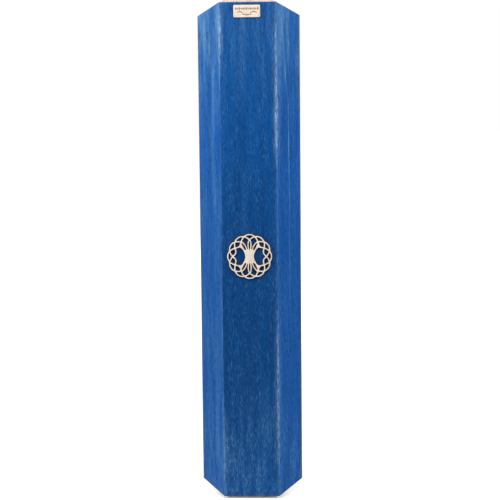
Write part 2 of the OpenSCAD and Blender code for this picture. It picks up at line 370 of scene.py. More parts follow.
def bare_wood(name, offset, dark, pale, pore, band=0.003, ring=0.0016, roughness=0.62):
    """Unstained wood between these two colours, with its pores darkened by this much."""
    mat, tree, shader, where = new_material(name)
    place = moved(tree, where, offset)
    wood = grain(tree, place, Band_Width=band, Streak_Width=0.0006, Pore_Width=0.00022, Pore_Length=14.0,
                 Pore_Share=0.42, Wander=0.003)
    # Year rings about a heart well outside the piece, so that the cut ends show arcs.
    heart_x, heart_y = offset[0] + 0.012, offset[1] + 0.045
    x, y, _ = axes(tree, place)
    across = calc(tree, "POWER", minus(tree, x, heart_x), 2.0)
    through = calc(tree, "POWER", minus(tree, y, heart_y), 2.0)
    reach = calc(tree, "SQRT", plus(tree, across, through))
    reach = plus(tree, reach, times(tree, wood["Bands"], 0.0006))
    cycle = calc(tree, "FRACT", over(tree, reach, ring))
    late = stretch_range(tree, cycle, 0.45, 0.95)
    tone = plus(tree, times(tree, late, 0.45), times(tree, wood["Streaks"], 0.4))
    colour = blend_colour(tree, tone, (*pale, 1), (*dark, 1))
    in_pores = (dark[0] * 0.45, dark[1] * 0.4, dark[2] * 0.35, 1)
    colour = blend_colour(tree, times(tree, wood["Pores"], pore), colour, in_pores)
    coat(tree, shader, colour, plus(tree, times(tree, wood["Pores"], 0.2), roughness), wood["Height"])
    return mat


(_, FRONT_Y, _), (_, LINED_Y, _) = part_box("front_panel")
(INNER_X, _, _), (FOOT_X, FOOT_Y, _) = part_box("right_side_panel")
PLATE_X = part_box("back_plate")[1][0]
CUT_H = 0.0059
BOARD_T = LINED_Y - FRONT_Y
SLOPE = Vector((FOOT_X - CORNER_X, FOOT_Y - FRONT_Y)).normalized()
LEAN = math.acos(SLOPE[0])
ROUND_R = 0.0024
END_EASE = 0.00035
RIM_DEPTH = 0.0006
INNER_CORNER = Vector((INNER_X, LINED_Y))


def end_of(x):
    """How far up a board runs at this distance from the middle: the ends of the side boards slant."""
    past = max(0.0, abs(x) - CORNER_X)
    return CASE_LEN / 2 - past * CUT_H / (PLATE_X - CORNER_X)


def arc(part_from, part_to, count):
    """Points round the long outer corner, from the front face (0) to the sloping face (1)."""
    back_off = ROUND_R * math.tan(LEAN / 2)
    middle = Vector((CORNER_X - back_off, FRONT_Y + ROUND_R))
    turns = [LEAN * (part_from + (part_to - part_from) * i / count) for i in range(count + 1)]
    return [middle + ROUND_R * Vector((math.sin(t), -math.cos(t))) for t in turns]


def between(a, b, count):
    return [a.lerp(b, i / count) for i in range(1, count)]


def mesh_from(bm, name):
    mesh = bpy.data.meshes.new(name)
    bm.to_mesh(mesh)
    bm.free()
    return mesh


def board(name, section, material, node):
    """A board run along the case from its section, with softened cut ends and a bare inside."""
    bm = bmesh.new()
    stations = [-1.0, -0.997, -0.99] + [i / 24 for i in range(-23, 24)] + [0.99, 0.997, 1.0]
    rings = [[bm.verts.new((p[0], p[1], end_of(p[0]) * s)) for p in section] for s in stations]
    for low, high in zip(rings, rings[1:]):
        for i in range(len(section)):
            j = (i + 1) % len(section)
            bm.faces.new((low[i], low[j], high[j], high[i]))
    bm.faces.new(rings[0])
    bm.faces.new(rings[-1])
    bmesh.ops.recalc_face_normals(bm, faces=bm.faces)
    weight = bm.edges.layers.float.new("bevel_weight_edge")
    ends = {v for r in (rings[0], rings[-1]) for v in r}
    for e in bm.edges:
        if e.verts[0] in ends and e.verts[1] in ends:
            e[weight] = 1.0
    made = mesh_object(name, mesh_from(bm, name), material, inside_wood)
    soften = made.modifiers.new("soften", "BEVEL")
    soften.limit_method, soften.width, soften.segments = "WEIGHT", END_EASE, 2
    made.data = plain_mesh(made)
    finish_edges(made.data, 32)
    rim = made.data.attributes.new("rim", "FLOAT", "POINT")
    for v in made.data.vertices:
        x, y, z = v.co
        to_end = end_of(x) - abs(z)
        rim.data[v.index].value = max(0.0, 1.0 - min(to_end, (FOOT_Y - y) * 4) / RIM_DEPTH)
    for f in made.data.polygons:
        f.material_index = 1 if f.normal.y > 0.3 else 0
    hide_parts(node)
    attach(made, "cover")


def plain_mesh(made):
    """The object's mesh with its modifiers worked in and taken off."""
    bpy.context.view_layer.update()
    result = bpy.data.meshes.new_from_object(made.evaluated_get(bpy.context.evaluated_depsgraph_get()))
    made.modifiers.clear()
    return result


def finish_edges(mesh, degrees):
    """Smooth shading with the edges sharper than the given angle kept crisp."""
    bm = bmesh.new()
    bm.from_mesh(mesh)
    for f in bm.faces:
        f.smooth = True
    for e in bm.edges:
        e.smooth = len(e.link_faces) != 2 or e.calc_face_angle(0) < math.radians(degrees)
    bm.to_mesh(mesh)
    bm.free()


# The front board is given a darker blue than the sloping boards, as painted shade; all three take one
# stain.
FRONT_STAIN_AND_SHADE = [(0.0002, 0.034, 0.143), (0.0008, 0.064, 0.244), (0.0001, 0.029, 0.114)]
inside_wood = bare_wood("inside_wood", (0.7, 0.6, 0.8), (0.42, 0.26, 0.17), (0.60, 0.42, 0.29), 0.5,
                        band=0.004)
half = arc(0.5, 0.0, 6)
corner = half[-1]
face = [corner.lerp(Vector((0, FRONT_Y)), t) for t in (0.03, 0.08, 0.16, 0.3, 0.55)]
right_half = half + face
left_half = [Vector((-p[0], p[1])) for p in reversed(right_half)]
far_corner = Vector((-INNER_X, LINED_Y))
inner = [far_corner] + between(far_corner, INNER_CORNER, 6) + [INNER_CORNER]
board("front_board", right_half + [Vector((0, FRONT_Y))] + left_half + inner,
      stained_wood("front_stain", (0.1, 0.0, 0.3), FRONT_STAIN_AND_SHADE, pale_and_painted_light=(0.07, 0.08, 0.01),
                   vein=(-0.004, -0.003, 0.02, 0.0012)), node="front_panel")

foot_out = Vector((FOOT_X, FOOT_Y))
foot_in = Vector((FOOT_X - BOARD_T / SLOPE[1], FOOT_Y))
half = arc(0.5, 1.0, 6)
slope_pts = [half[-1].lerp(foot_out, t) for t in (0.05, 0.12, 0.25, 0.45, 0.7, 0.9, 0.97)]
side_section = half + slope_pts + [foot_out] + between(foot_out, foot_in, 3) + [foot_in]
side_section += between(foot_in, INNER_CORNER, 5) + [INNER_CORNER]
# The sloping boards are given a paler blue than the front, as painted light.
SIDE_STAIN_AND_LIGHT = [(0.003, 0.050, 0.208), (0.009, 0.108, 0.415), (0.004, 0.068, 0.270)]
board("right_board", side_section,
      stained_wood("right_stain", (0.4, 0.2, 0.9), SIDE_STAIN_AND_LIGHT, pale_and_painted_light=(0.29, 0.05, 0.02),
                   vein=(0.0168, 0.0200, 0.42, 0.0004)), node="right_side_panel")
# The left board is paled more than the right, as painted light falling from the left.
board("left_board", [Vector((-p[0], p[1])) for p in side_section],
      stained_wood("left_stain", (-0.3, 0.5, 0.2), SIDE_STAIN_AND_LIGHT, pale_and_painted_light=(0.37, 0.08, 0.09),
                   vein=(-0.0176, -0.0180, 0.12, 0.0014)), node="left_side_panel")


# ------ End blocks and corner linings
# Bare hardwood blocks close the case and stand a little past the boards. The lower one is given a paler,
# greyer wood than the upper, as painted light on a block that sits in shade. Three-cornered strips
# strengthen the corners inside.
def dress(node, material, soften):
    """Gives a CAD part its finish, and takes the sharpness off its edges."""
    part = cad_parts[node]
    part.data.materials.clear()
    part.data.materials.append(material)
    weld = part.modifiers.new("weld", "WELD")
    weld.merge_threshold = 1e-6
    ease = part.modifiers.new("ease", "BEVEL")
    ease.width, ease.segments = soften, 2
    ease.limit_method, ease.angle_limit = "ANGLE", math.radians(32)


block_wood = bare_wood("block_wood", (0.2, 0.1, 0.4), (0.46, 0.36, 0.30), (0.70, 0.60, 0.53), 0.4)
dress("top_end_block", block_wood, soften=0.0003)
# A paler, greyer copy of the block wood: painted light on the lower block, which sits in shade.
grey_wood_painted_light = bare_wood("lower_block_wood", (0.5, 0.2, 0.3), (0.62, 0.60, 0.58), (0.82, 0.81, 0.80), 0.3)
dress("bottom_end_block", grey_wood_painted_light, soften=0.0003)
lining_wood = bare_wood("lining_wood", (0.6, 0.3, 0.1), (0.48, 0.31, 0.17), (0.68, 0.50, 0.31), 0.3)
dress("left_corner_lining", lining_wood, soften=0.0002)
dress("right_corner_lining", lining_wood, soften=0.0002)


# ------ Tree emblem
# A disc 23 mm across, cut by laser from 1.5 mm birch and glued to the front board:
# a tree whose branches and roots run into a ring of three interlaced strands. The
# cut edges are browned by the beam.
def filled(loops):
    """Triangles between closed outlines. Outlines inside others stay open."""
    points = [Vector(p) for loop in loops for p in loop]
    edges = []
    for loop in loops:
        first = len(edges)
        edges += [(first + i, first + (i + 1) % len(loop)) for i in range(len(loop))]
    in_mm = [p * 1000 for p in points]
    verts, _, faces, came_from, _, _ = delaunay_2d_cdt(in_mm, edges, [], 0, 1e-5)
    a = np.array([in_mm[i] for i, _ in edges])
    b = np.array([in_mm[j] for _, j in edges])
    kept = []
    for face in faces:
        px, pz = sum((verts[i] for i in face), Vector((0, 0))) / 3
        above = (a[:, 1] > pz) != (b[:, 1] > pz)
        with np.errstate(divide="ignore", invalid="ignore"):
            meets = a[:, 0] + (pz - a[:, 1]) * (b[:, 0] - a[:, 0]) / (b[:, 1] - a[:, 1])
        if np.count_nonzero(above & (meets > px)) % 2:
            kept.append([came_from[i][0] for i in face])
    return kept


def signed_area(loop):
    return sum(p[0] * q[1] - q[0] * p[1] for p, q in zip(loop, loop[1:] + loop[:1])) / 2


def drawn_in(loop, by):
    """The outline moved into the material, which lies to the left of it."""
    moved_in = []
    for before, here, after in zip(loop[-1:] + loop[:-1], loop, loop[1:] + loop[:1]):
        way = (Vector(here) - Vector(before)).normalized() + (Vector(after) - Vector(here)).normalized()
        out = Vector((-way[1], way[0])).normalized() if way.length > 1e-6 else Vector((0, 0))
        moved_in.append(tuple(Vector(here) + out * by))
    return moved_in


def cut_sheet(name, loops, back_y, thick, ease, *materials):
    """A flat piece run forwards from back_y, from outlines in X and Z, with its front edges eased."""
    largest = max(loops, key=lambda loop: abs(signed_area(loop)))
    loops = [loop if (signed_area(loop) > 0) == (loop is largest) else loop[::-1] for loop in loops]
    inset = [drawn_in(loop, ease) for loop in loops]
    halfway = [drawn_in(loop, ease * 0.3) for loop in loops]
    bm = bmesh.new()
    layers = ((loops, back_y), (loops, back_y - thick + ease), (halfway, back_y - thick + ease * 0.3),
              (inset, back_y - thick))
    rings = [[bm.verts.new((p[0], y, p[1])) for loop in outline for p in loop] for outline, y in layers]
    first = 0
    for loop in loops:
        for i in range(len(loop)):
            j = first + (i + 1) % len(loop)
            for low, high in zip(rings, rings[1:]):
                bm.faces.new((low[first + i], low[j], high[j], high[first + i]))
        first += len(loop)
    for face in filled(inset):
        bm.faces.new([rings[-1][i] for i in face])
    for face in filled(loops):
        bm.faces.new([rings[0][i] for i in face])
    bmesh.ops.recalc_face_normals(bm, faces=bm.faces)
    for f in bm.faces:
        f.material_index = 0 if abs(f.normal.y) > 0.95 or len(materials) == 1 else 1
    mesh = mesh_from(bm, name)
    finish_edges(mesh, 25)
    return mesh_object(name, mesh, *materials)


def contour(field, step, origin):
    """Closed outlines where a grid of values crosses zero, each a list of points."""
    inside = field < 0
    crossing, links = {}, {}

    def cut(a, b):
        key = (a, b) if a < b else (b, a)
        if key not in crossing:
            t = field[a] / (field[a] - field[b])
            crossing[key] = (origin + step * (a[1] + (b[1] - a[1]) * t),
                             origin + step * (a[0] + (b[0] - a[0]) * t))
        return key

    mixed = inside[:-1, :-1].astype(int) + inside[1:, :-1] + inside[:-1, 1:] + inside[1:, 1:]
    for r, c in np.argwhere((mixed > 0) & (mixed < 4)):
        r, c = int(r), int(c)
        around = [(r, c), (r, c + 1), (r + 1, c + 1), (r + 1, c)]
        sides = zip(around, around[1:] + around[:1])
        cuts = [cut(a, b) for a, b in sides if inside[a] != inside[b]]
        for a, b in zip(cuts[::2], cuts[1::2]):
            links.setdefault(a, []).append(b)
            links.setdefault(b, []).append(a)
    loops, left = [], set(links)
    while left:
        first = min(left)
        loop, here, last = [], first, None
        while here in left:
            left.remove(here)
            loop.append(crossing[here])
            ahead = [k for k in links[here] if k != last and k in left]
            last, here = here, (ahead[0] if ahead else first)
        loops.append(loop)
    return loops


def eased(loop, spacing):
    """The outline with its grid steps smoothed out, and its points evenly spaced."""
    pts = np.array(loop)
    for _ in range(2):
        pts = 0.25 * np.roll(pts, 1, 0) + 0.5 * pts + 0.25 * np.roll(pts, -1, 0)
    closed = np.vstack([pts, pts[:1]])
    run = np.concatenate([[0.0], np.cumsum(np.hypot(*np.diff(closed, axis=0).T))])
    even = np.linspace(0, run[-1], max(12, int(run[-1] / spacing)), endpoint=False)
    return list(zip(np.interp(even, run, closed[:, 0]), np.interp(even, run, closed[:, 1])))


EMBLEM_LOW, EMBLEM_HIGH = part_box("tree_emblem")
EMBLEM_R = (EMBLEM_HIGH[0] - EMBLEM_LOW[0]) / 2
EMBLEM_Z = (EMBLEM_HIGH[2] + EMBLEM_LOW[2]) / 2
STRAND = 0.034
STEPS = 520
span = np.linspace(-1.03, 1.03, STEPS)
gx, gz = np.meshgrid(span, span)
reach, turn = np.hypot(gx, gz), np.arctan2(gz, gx)
off_axis = np.arctan2(np.abs(gx), np.abs(gz))
FAR = 9.0
solid = np.full(gx.shape, FAR)


def join(a, b, soft=0.022):
    """The two shapes in one, with a small fillet where they meet."""
    h = np.clip(0.5 + 0.5 * (b - a) / soft, 0, 1)
    return b * (1 - h) + a * h - soft * h * (1 - h)


def on_curve(points, t):
    """The place at t, from 0 to 1, on the curve that four points steer."""
    shares = ((1 - t) ** 3, 3 * t * (1 - t) ** 2, 3 * t * t * (1 - t), t ** 3)
    return [sum(share * p[a] for share, p in zip(shares, points)) for a in (0, 1)]


# Each strand swings in and out four times on its way round. A ripple flattens its outer turns.
RING_R, WAVES, SWING, RIPPLE = 0.807, 4, 0.165, 0.015
for s in range(3):
    phase = WAVES * (turn - math.pi / 2 - s * math.pi / 6)
    path = RING_R + SWING * np.cos(phase) - RIPPLE * np.cos(2 * phase)
    lean = WAVES * (2 * RIPPLE * np.sin(2 * phase) - SWING * np.sin(phase)) / np.maximum(reach, 0.3)
    off = np.abs(reach - path) / np.sqrt(1 + lean * lean) - STRAND
    # Above and below the trunk the inner turns give way to the branches and roots.
    off[(off_axis < math.radians(30)) & (path < 0.735)] = FAR
    solid = join(solid, off)

# The curves of one quarter of the tree, each from the ring to the trunk.
BRANCHES = (((0.0, 0.74), (0.078, 0.64), (0.074, 0.46), (0.035, 0.25)),
            ((0.370, 0.655), (0.26, 0.60), (0.148, 0.46), (0.118, 0.28)),
            ((0.385, 0.60), (0.355, 0.48), (0.30, 0.38), (0.19, 0.20)),
            ((0.46, 0.41), (0.37, 0.44), (0.245, 0.35), (0.165, 0.10)))
ax, az = np.abs(gx), np.abs(gz)
for branch in BRANCHES:
    off = np.full(gx.shape, FAR)
    last = branch[0]
    for i in range(1, 17):
        here = on_curve(branch, i / 16)
        dx, dz = here[0] - last[0], here[1] - last[1]
        along = np.clip(((ax - last[0]) * dx + (az - last[1]) * dz) / (dx * dx + dz * dz), 0, 1)
        off = np.minimum(off, np.hypot(ax - last[0] - along * dx, az - last[1] - along * dz))
        last = here
    solid = join(solid, off - STRAND * 0.95)
trunk = np.maximum(ax - 0.195 - 1.05 * az * az, az - 0.29)
solid = join(solid, trunk, 0.03)

# Outlines of fewer points than this are specks where branches meet.
SMALLEST_HOLE = 40
outlines = [[(x * EMBLEM_R, z * EMBLEM_R + EMBLEM_Z) for x, z in eased(loop, 0.0085)]
            for loop in contour(solid, span[1] - span[0], span[0]) if len(loop) > SMALLEST_HOLE]

birch = bare_wood("birch_face", (0.3, 0.7, 0.2), (0.53, 0.445, 0.355), (0.64, 0.575, 0.49), 0.25,
                  band=0.002, ring=0.0012, roughness=0.55)


def burnt(name, scale, dark, pale, *gloss):
    """Wood browned by the beam, unevenly as smoke leaves it."""
    mat, tree, shader, where = new_material(name)
    smoke = noise(tree, where, scale=scale, detail=2.0)
    coat(tree, shader, blend_colour(tree, smoke, dark, pale), stretch_range(tree, smoke, 0.3, 0.7, *gloss))
    return mat


scorched = burnt("scorched_edge", 1400.0, (0.035, 0.014, 0.006, 1), (0.16, 0.075, 0.03, 1), 0.65, 0.9)

emblem = cut_sheet("emblem", outlines, FRONT_Y, FRONT_Y - EMBLEM_LOW[1], 0.00012, birch, scorched)
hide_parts("tree_emblem")
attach(emblem, "cover")


# ------ Plaque
# A slip of birch veneer with rounded corners, glued near the top. A row of small
# lozenges and a double scroll below it are burnt into its face.
low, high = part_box("name_plaque")
mid_x, mid_z = (low[0] + high[0]) / 2, (low[2] + high[2]) / 2
half_w, half_h = (high[0] - low[0]) / 2, (high[2] - low[2]) / 2
CORNER_R = 0.0006
BURN = 0.00012
STROKE_W = 0.00042
LOZENGE_STEP = 0.00090


def rounded(half_w, half_h, r):
    pts = []
    for quarter, (sx, sz) in enumerate(((1, 1), (-1, 1), (-1, -1), (1, -1))):
        for i in range(7):
            a = math.radians(90 * quarter + 15 * i)
            pts.append((mid_x + sx * (half_w - r) + r * math.cos(a),
                        mid_z + sz * (half_h - r) + r * math.sin(a)))
    return pts


def tapered_stroke(points, width):
    """A pen stroke through the points, widest in the middle."""
    left, right = [], []
    count = 18
    p0, p1, p2, p3 = [Vector(p) for p in points]
    for i in range(count + 1):
        t = i / count
        here = Vector(on_curve(points, t))
        way = (p1 - p0) * (1 - t) ** 2 + (p2 - p1) * 2 * t * (1 - t) + (p3 - p2) * t * t
        out = Vector((-way[1], way[0])).normalized() * width * (0.22 + 0.78 * math.sin(math.pi * t)) / 2
        left.append(here + out)
        right.append(here - out)
    return [(mid_x + p[0], mid_z + p[1]) for p in left + right[::-1]]


marks = []
for i in range(-6, 7):
    tall, wide = (0.00080, 0.00042) if i % 2 == 0 else (0.00056, 0.00030)
    cx, cz = mid_x + i * LOZENGE_STEP, mid_z + 0.0012
    marks.append([(cx + wide, cz), (cx, cz + tall), (cx - wide, cz), (cx, cz - tall)])
for s in (-1, 1):
    marks.append(tapered_stroke(((s * 0.0050, -0.0010), (s * 0.0040, 0.0001), (s * 0.0028, -0.0002),
                                 (s * 0.0015, -0.0012)), STROKE_W))
marks.append(tapered_stroke(((-0.0027, -0.00130), (-0.0010, -0.00205), (0.0010, -0.00205),
                             (0.0027, -0.00130)), STROKE_W))
veneer = bare_wood("plaque_face", (0.9, 0.2, 0.5), (0.53, 0.44, 0.35), (0.65, 0.57, 0.475), 0.2, band=0.002,
                   ring=0.0014, roughness=0.5)
engraved = burnt("engraved_brown", 1100.0, (0.15, 0.080, 0.032, 1), (0.33, 0.20, 0.10, 1), 0.6, 0.85)
floor_y = low[1] + BURN
slip = rounded(half_w, half_h, CORNER_R)
base = cut_sheet("plaque_base", [slip], FRONT_Y, FRONT_Y - floor_y, 0.00002, engraved)
face = cut_sheet("plaque_face", [slip] + marks, floor_y, BURN, 0.00005, veneer, engraved)
for part in (base, face):
    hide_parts("name_plaque")
    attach(part, "cover")


# ------ Wall plate
# Three-ply birch, 3 mm thick, cut to the outline of the cover. The middle ply runs
# across, so the edge shows a darker stripe between two pale ones.
plate_ply, tree, shader, where = new_material("plate_ply")
face_wood = grain(tree, where, Band_Width=0.007, Streak_Width=0.0008, Pore_Width=0.0003, Pore_Length=14.0,
                  Pore_Share=0.3, Wander=0.006)
turned = add(tree, "ShaderNodeMapping", {"Vector": where, "Rotation": (0, math.pi / 2, 0)}).outputs[0]
core_wood = grain(tree, turned, Band_Width=0.003, Streak_Width=0.0004, Pore_Width=0.0002, Pore_Length=3.0,
                  Pore_Share=0.5, Wander=0.002)
x, y, _ = axes(tree, where)
PLATE_T = 0.003
off_middle = apart(tree, y, -PLATE_T / 2)
core = stretch_range(tree, off_middle, PLATE_T * 0.19, PLATE_T * 0.165)
glue = stretch_range(tree, apart(tree, off_middle, PLATE_T * 0.178), 0.00009, 0.00003)
tone = plus(tree, times(tree, face_wood["Bands"], 0.5), times(tree, face_wood["Streaks"], 0.4))
pale = blend_colour(tree, tone, (0.70, 0.52, 0.34, 1), (0.55, 0.37, 0.22, 1))
pale = blend_colour(tree, times(tree, face_wood["Pores"], 0.3), pale, (0.30, 0.17, 0.09, 1))
dark = blend_colour(tree, core_wood["Streaks"], (0.40, 0.24, 0.13, 1), (0.26, 0.14, 0.07, 1))
colour = blend_colour(tree, core, pale, dark)
colour = blend_colour(tree, glue, colour, (0.16, 0.08, 0.04, 1))
# The long edges are tinted a deep blue.
long_edge = stretch_range(tree, calc(tree, "ABSOLUTE", x), PLATE_X - 0.0006, PLATE_X - 0.0003, 0.0, 0.88)
colour = blend_colour(tree, long_edge, colour, (0.060, 0.115, 0.260, 1))
roughness = stretch_range(tree, face_wood["Streaks"], 0.0, 1.0, 0.55, 0.7)
coat(tree, shader, colour, roughness, face_wood["Height"])
dress("back_plate", plate_ply, soften=0.0002)


# ------ Wall screws
# Two slotted countersunk wood screws of turned brass hold the plate on the doorpost.
# The thread is cut into the shank and runs out on the tip.
def geometry_tree(name, inputs):
    """A tree that reshapes a starting mesh, with named inputs for its sizes."""
    tree = bpy.data.node_groups.new(name, "GeometryNodeTree")
    tree.interface.new_socket(name="Geometry", in_out="INPUT", socket_type="NodeSocketGeometry")
    for label, kind, value in inputs:
        group_input(tree, label, kind, value)
    tree.interface.new_socket(name="Geometry", in_out="OUTPUT", socket_type="NodeSocketGeometry")
    return tree, add(tree, "NodeGroupInput").outputs, add(tree, "NodeGroupOutput").inputs


def grow(name, tree, start, angle, **sizes):
    """Runs a tree on a starting mesh and keeps the outcome as a plain mesh."""
    made = mesh_object(name, start)
    shape = made.modifiers.new("shape", "NODES")
    shape.node_group = tree
    for item in tree.interface.items_tree:
        if item.name.replace(" ", "_") in sizes:
            shape[item.identifier] = sizes[item.name.replace(" ", "_")]
    made.data = plain_mesh(made)
    finish_edges(made.data, angle)
    return made


def turned_along_y(profile, count):
    """A turned piece about the Y axis, from its radius at each depth."""
    bm = bmesh.new()
    turns = [math.tau * i / count for i in range(count)]
    rings = [[bm.verts.new((r * math.cos(a), y, r * math.sin(a))) for a in turns] for y, r in profile]
    for low, high in zip(rings, rings[1:]):
        for i in range(count):
            bm.faces.new((low[i], low[(i + 1) % count], high[(i + 1) % count], high[i]))
    bm.faces.new(rings[0])
    bm.faces.new(rings[-1])
    bmesh.ops.recalc_face_normals(bm, faces=bm.faces)
    return mesh_from(bm, "turned")


def two_of(tree, given, gives, what, material, y=0.0):
    """Ends a tree: its piece twice, one above the other by the given Spacing, with its material."""
    lowest = vector(tree, y=y, z=times(tree, given["Spacing"], -0.5))
    step = vector(tree, z=given["Spacing"])
    line = add(tree, "GeometryNodeMeshLine", {"Count": 2, "Start Location": lowest, "Offset": step})
    placed = add(tree, "GeometryNodeInstanceOnPoints", {"Points": line.outputs[0], "Instance": what})
    placed = add(tree, "GeometryNodeRealizeInstances", {0: placed.outputs[0]})
    placed = add(tree, "GeometryNodeSetMaterial", {"Geometry": placed.outputs[0], "Material": material})
    tree.links.new(placed.outputs[0], gives[0])


def drawn_to_axis(tree, given, place, ratio):
    """The starting mesh with each point's distance from the Y axis multiplied by the ratio."""
    pressed = stretched(tree, place, vector(tree, ratio, 1.0, ratio))
    return add(tree, "GeometryNodeSetPosition",
               {"Geometry": given["Geometry"], "Position": pressed}).outputs[0]


HEAD_R, NECK_R, SHANK_R = 0.0029, 0.0016, 0.0015
SCREW_OUT, SCREW_TIP = 0.013, 0.003
SLOT_W, SLOT_H = 0.0008, 0.0007
SCREW_Z = 0.085
SINK_H = HEAD_R - NECK_R
profile = [(-PLATE_T, HEAD_R - 0.00015), (-PLATE_T + 0.0001, HEAD_R), (SINK_H - PLATE_T, NECK_R),
           (0.0, SHANK_R)]
THREAD_STEPS = 150
for i in range(1, THREAD_STEPS + 1):
    depth = SCREW_OUT * i / THREAD_STEPS
    profile.append((depth, min(SHANK_R, 0.00012 + SHANK_R * (SCREW_OUT - depth) / SCREW_TIP)))
blank = mesh_object("screw_blank", turned_along_y(profile, 40))
cutter = mesh_object("slot_cutter", bpy.data.meshes.new("slot"))
bm = bmesh.new()
bmesh.ops.create_cube(bm, size=1.0, matrix=Matrix.Translation((0, -PLATE_T, 0)) @ Matrix.Diagonal(
    (4 * HEAD_R, 2 * SLOT_H, SLOT_W, 1)))
bm.to_mesh(cutter.data)
bm.free()
slot = blank.modifiers.new("slot", "BOOLEAN")
slot.object, slot.operation, slot.solver = cutter, "DIFFERENCE", "EXACT"
slotted = plain_mesh(blank)
bpy.data.objects.remove(blank)
bpy.data.objects.remove(cutter)

brass, tree, shader, where = new_material("screw_brass")
turning = noise(tree, scaled(tree, where, 0.0002, 0.15))
tarnish = stretch_range(tree, noise(tree, where, scale=700.0), 0.45, 0.68)
colour = blend_colour(tree, turning, (0.78, 0.56, 0.22, 1), (0.88, 0.68, 0.33, 1))
coat(tree, shader, blend_colour(tree, times(tree, tarnish, 0.55), colour, (0.32, 0.19, 0.07, 1)),
     stretch_range(tree, plus(tree, turning, times(tree, tarnish, 0.6)), 0.3, 1.2, 0.24, 0.55))
shader.inputs["Metallic"].default_value = 1.0

thread, given, gives = geometry_tree(
    "cut_thread", [("Pitch", "Float", 0.0012), ("Depth", "Float", 0.0004), ("Start", "Float", 0.0008),
                   ("Spacing", "Float", 0.1)])
place = add(thread, "GeometryNodeInputPosition").outputs[0]
x, y, z = axes(thread, place)
lead = plus(thread, over(thread, y, given["Pitch"]),
            over(thread, calc(thread, "ARCTAN2", z, x), math.tau))
ridge = apart(thread, calc(thread, "FRACT", lead), 0.5)
groove = minus(thread, 1.0, over(thread, minus(thread, 0.5, ridge), 0.24), clamp=True)
run_in = over(thread, minus(thread, y, given["Start"]), given["Pitch"], clamp=True)
width = calc(thread, "SQRT", plus(thread, times(thread, x, x), times(thread, z, z)))
cut = times(thread, times(thread, minus(thread, 1.0, groove), run_in),
            calc(thread, "MINIMUM", given["Depth"], times(thread, width, 0.45)))
ratio = minus(thread, 1.0, over(thread, cut, calc(thread, "MAXIMUM", width, 0.00001)))
two_of(thread, given, gives, drawn_to_axis(thread, given, place, ratio), brass)
screws = grow("screws", thread, slotted, 35, Pitch=0.0013, Depth=0.00042, Start=0.0006, Spacing=2 * SCREW_Z)
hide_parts("wall_screws")
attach(screws, "wall_plate")


# ------ Magnets
# Small nickel-plated discs, four let into the plate and four into the end blocks,
# glued in flush. The plating shows fine rubbing marks.
nickel, tree, shader, where = new_material("nickel_plating")
rubs = noise(tree, scaled(tree, where, 0.0016, 0.06), detail=4.0)
haze = noise(tree, where, scale=500.0, detail=2.0)
coat(tree, shader, blend_colour(tree, rubs, (0.52, 0.50, 0.47, 1), (0.70, 0.69, 0.66, 1)),
     stretch_range(tree, plus(tree, times(tree, rubs, 0.5), haze), 0.4, 1.0, 0.16, 0.38))
shader.inputs["Metallic"].default_value = 1.0
dress("plate_magnets", nickel, soften=0.0002)
dress("cover_magnets", nickel, soften=0.0002)


# ------ Cradles
# Two beech blocks with a half-round seat, glued to the plate, hold the roll.
beech = bare_wood("beech", (0.5, 0.9, 0.6), (0.50, 0.29, 0.16), (0.68, 0.46, 0.29), 0.55, band=0.0025,
                  ring=0.0019, roughness=0.58)
dress("upper_cradle", beech, soften=0.0003)
dress("lower_cradle", beech, soften=0.0003)


# ------ Locating pins
# Two fluted hardwood dowels glued into the end blocks. Their noses seat in the plate
# and stop the cover from sliding. The flutes let the glue out.
pin_low, pin_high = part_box("locating_pins")
PIN_R = pin_high[0]
PIN_NOSE = 0.0004
pin_profile = [(pin_high[1], PIN_R - PIN_NOSE * 1.2), (pin_high[1] - PIN_NOSE, PIN_R),
               (pin_low[1] + PIN_NOSE, PIN_R), (pin_low[1], PIN_R - PIN_NOSE)]
flute, given, gives = geometry_tree(
    "flute_pins", [("Flutes", "Float", 16.0), ("Depth", "Float", 0.0002), ("Spacing", "Float", 0.1)])
place = add(flute, "GeometryNodeInputPosition").outputs[0]
x, _, z = axes(flute, place)
turn = times(flute, calc(flute, "ARCTAN2", z, x), given["Flutes"])
dip = times(flute, calc(flute, "POWER", calc(flute, "ABSOLUTE", calc(flute, "COSINE", turn)), 2.0),
            over(flute, given["Depth"], PIN_R))
pin_wood = bare_wood("pin_wood", (0.8, 0.4, 0.3), (0.55, 0.38, 0.22), (0.74, 0.56, 0.37), 0.35)
two_of(flute, given, gives, drawn_to_axis(flute, given, place, minus(flute, 1.0, dip)), pin_wood)
pins = grow("pins", flute, turned_along_y(pin_profile, 128), 50, Flutes=8.0, Depth=0.00016,
            Spacing=pin_high[2] - pin_low[2] - 2 * PIN_R)
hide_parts("locating_pins")
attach(pins, "cover")


# ------ Rolled parchment, wrapper and bands
# A strip of parchment wound on itself with a hollow middle. A sheet of waxed paper
# goes once round it and laps over, held by two closed rubber bands.
roll_low, roll_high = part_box("parchment_scroll")
ROLL_R = (roll_high[0] - roll_low[0]) / 2
ROLL_Y = (roll_high[1] + roll_low[1]) / 2
ROLL_HALF = roll_high[2]
CORE_R = 0.0016
PER_TURN = 56


